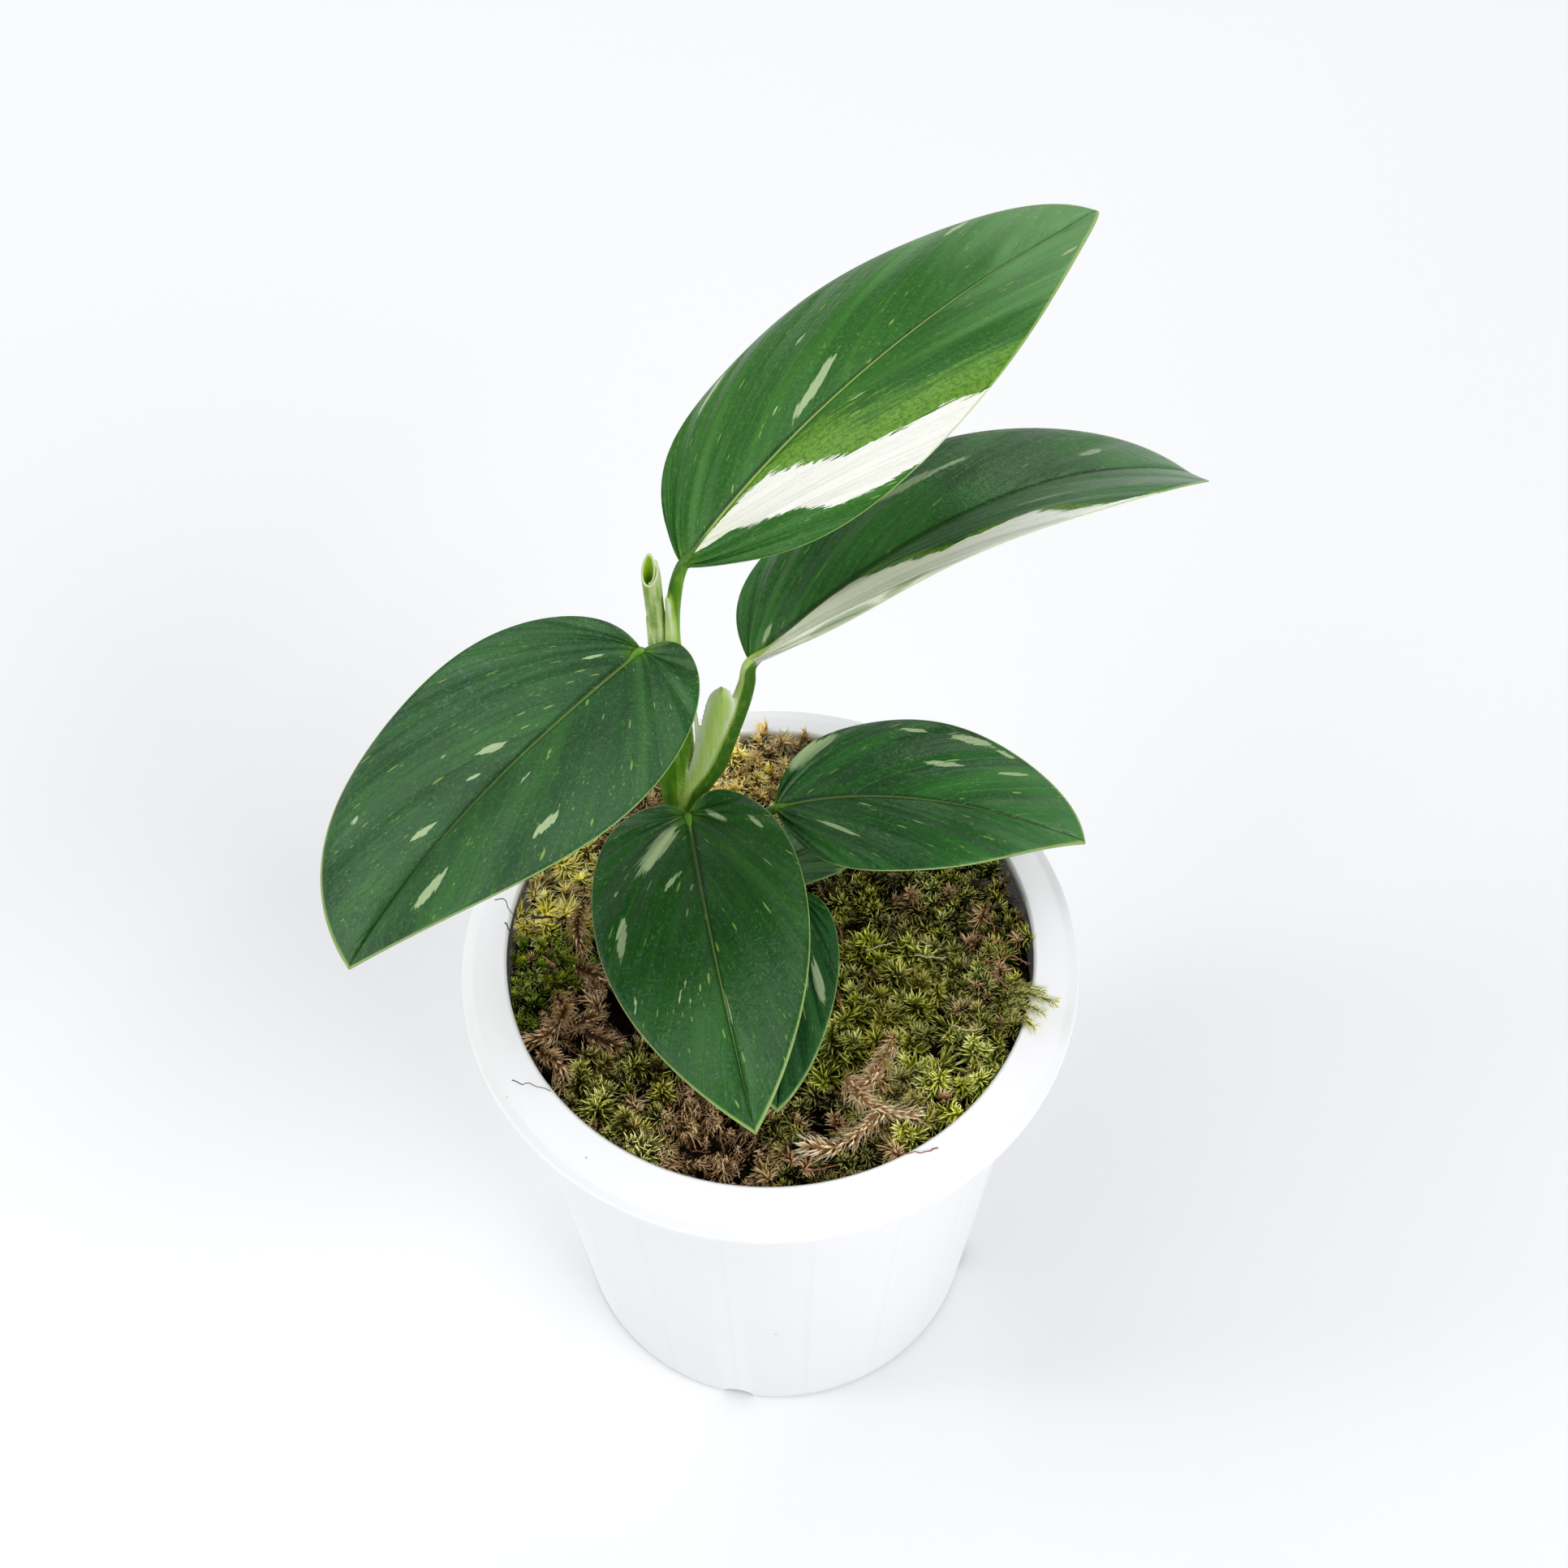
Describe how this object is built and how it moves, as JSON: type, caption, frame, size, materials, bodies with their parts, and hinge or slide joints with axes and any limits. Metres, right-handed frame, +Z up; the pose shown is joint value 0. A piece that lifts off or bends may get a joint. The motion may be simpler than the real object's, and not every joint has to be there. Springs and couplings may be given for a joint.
{
  "type": "potted monstera standleyana",
  "caption": "Young climbing aroid with oval, pointed, glossy green leaves streaked and sectored in cream on slim sheathed petioles, in a white tapered pot topped with moss.",
  "frame": {"origin": "centre of the underside of the pot's foot, on the surface it stands on; the stem rises left of and behind it", "axes": "+Z up along the pot's axis, -Y towards the side the plant is looked at from, +X to that viewer's right"},
  "size_m": [0.1809, 0.174, 0.2445],
  "materials": {
    "pot_plastic": "smooth satin white, very slightly translucent",
    "growing_medium": "rough, crumbly, matt",
    "moss_cushion_left": "fine, dry, matt",
    "moss_left_back": "fine, dry, matt",
    "moss_back_left": "fine, dry, matt",
    "moss_back": "fine, dry, matt",
    "moss_brown_left": "fine, dry, matt",
    "moss_front_left": "fine, dry, matt",
    "moss_brown_front": "fine, dry, matt",
    "moss_front": "fine, dry, matt",
    "moss_front_right": "fine, dry, matt",
    "moss_right_stars": "fine, dry, matt",
    "moss_right_edge": "fine, dry, matt",
    "moss_right_back": "fine, dry, matt",
    "moss_back_right": "fine, dry, matt",
    "moss_centre": "fine, dry, matt",
    "moss_dry_fronds": "fine, dry, matt",
    "stem": "smooth, soft satin",
    "leaf_top_blade": "leathery, glossy",
    "leaf_right_blade": "leathery, glossy",
    "leaf_left_blade": "leathery, glossy",
    "leaf_front_blade": "leathery, glossy",
    "leaf_low_right_blade": "leathery, glossy",
    "leaf_low_front_blade": "leathery, glossy",
    "leaf_small_low_blade": "leathery, glossy",
    "new_leaf": "smooth, soft satin"
  },
  "bodies": {
    "root": {"nursery_pot": "pot_plastic", "growing_medium": "growing_medium", "moss_cushion_left": "moss_cushion_left", "moss_left_back": "moss_left_back", "moss_back_left": "moss_back_left", "moss_back": "moss_back", "moss_brown_left": "moss_brown_left", "moss_front_left": "moss_front_left", "moss_brown_front": "moss_brown_front", "moss_front": "moss_front", "moss_front_right": "moss_front_right", "moss_right_stars": "moss_right_stars", "moss_right_edge": "moss_right_edge", "moss_right_back": "moss_right_back", "moss_back_right": "moss_back_right", "moss_centre": "moss_centre", "moss_dry_fronds": "moss_dry_fronds", "stem_and_petioles": "stem", "leaf_top_blade": "leaf_top_blade", "leaf_right_blade": "leaf_right_blade", "leaf_left_blade": "leaf_left_blade", "leaf_front_blade": "leaf_front_blade", "leaf_low_right_blade": "leaf_low_right_blade", "leaf_low_front_blade": "leaf_low_front_blade", "leaf_small_low_blade": "leaf_small_low_blade", "new_leaf_roll": "new_leaf"}
  },
  "joints": []
}
